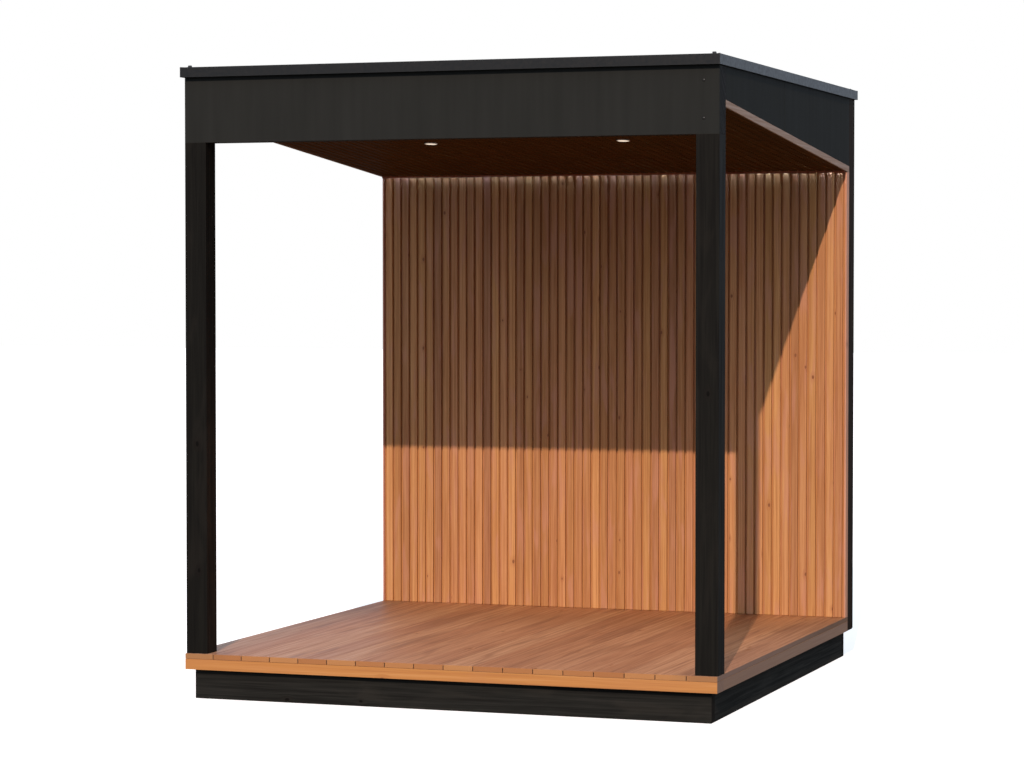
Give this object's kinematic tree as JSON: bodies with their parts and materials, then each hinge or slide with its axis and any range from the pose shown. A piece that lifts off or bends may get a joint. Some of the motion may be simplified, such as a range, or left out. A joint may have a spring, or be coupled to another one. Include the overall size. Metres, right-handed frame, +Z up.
{
  "type": "garden gazebo",
  "caption": "Open garden gazebo with a timber deck on a dark plinth, slim front posts, a slatted back wall and ceiling, and a level dark roof edge under a metal coping.",
  "frame": {"origin": "on the ground under the middle of the whole building, at the bottom centre of its box", "axes": "+X to the right seen from the front, +Y to the rear wall, +Z up"},
  "size_m": [2.2036, 2.297, 2.5],
  "materials": {
    "black_stained_timber": "black stain, matt",
    "framing_timber": "planed, untreated",
    "oiled_deck_timber": "oiled, semi-gloss",
    "wall_slat_timber": "planed and oiled, satin",
    "ceiling_slat_timber": "planed and oiled, satin",
    "pale_trim_timber": "planed, satin",
    "charcoal_panel": "painted board, matt",
    "coping_sheet": "coated sheet, satin",
    "roof_membrane": "matt",
    "lamp_lens": "opal diffuser, lit"
  },
  "bodies": {
    "root": {"plinth_front": "black_stained_timber", "plinth_rear": "black_stained_timber", "plinth_left": "black_stained_timber", "plinth_right": "black_stained_timber", "front_left_post": "black_stained_timber", "front_right_post": "black_stained_timber", "rear_left_post": "black_stained_timber", "rear_right_post": "black_stained_timber", "front_beam": "black_stained_timber", "back_wall_cladding": "black_stained_timber", "floor_joists": "framing_timber", "deck_battens": "framing_timber", "back_wall_sill": "framing_timber", "back_wall_studs": "framing_timber", "left_beam": "framing_timber", "right_beam": "framing_timber", "rear_beam": "framing_timber", "roof_rafters": "framing_timber", "roof_boarding": "framing_timber", "ceiling_board": "framing_timber", "deck_boards": "oiled_deck_timber", "deck_rim_front": "oiled_deck_timber", "deck_rim_left": "oiled_deck_timber", "deck_rim_right": "oiled_deck_timber", "back_wall_slats": "wall_slat_timber", "back_wall_lining": "wall_slat_timber", "ceiling_slats": "ceiling_slat_timber", "cove_batten": "ceiling_slat_timber", "wall_end_left": "pale_trim_timber", "wall_end_right": "pale_trim_timber", "ceiling_edge_left": "pale_trim_timber", "ceiling_edge_right": "pale_trim_timber", "front_fascia": "charcoal_panel", "left_fascia_front": "charcoal_panel", "left_fascia_rear": "charcoal_panel", "right_fascia_front": "charcoal_panel", "right_fascia_rear": "charcoal_panel", "coping_front": "coping_sheet", "coping_left": "coping_sheet", "coping_right": "coping_sheet", "coping_rear": "coping_sheet", "roof_membrane": "roof_membrane", "downlight_left": "lamp_lens", "downlight_right": "lamp_lens", "wall_light_strip": "lamp_lens"}
  },
  "joints": []
}
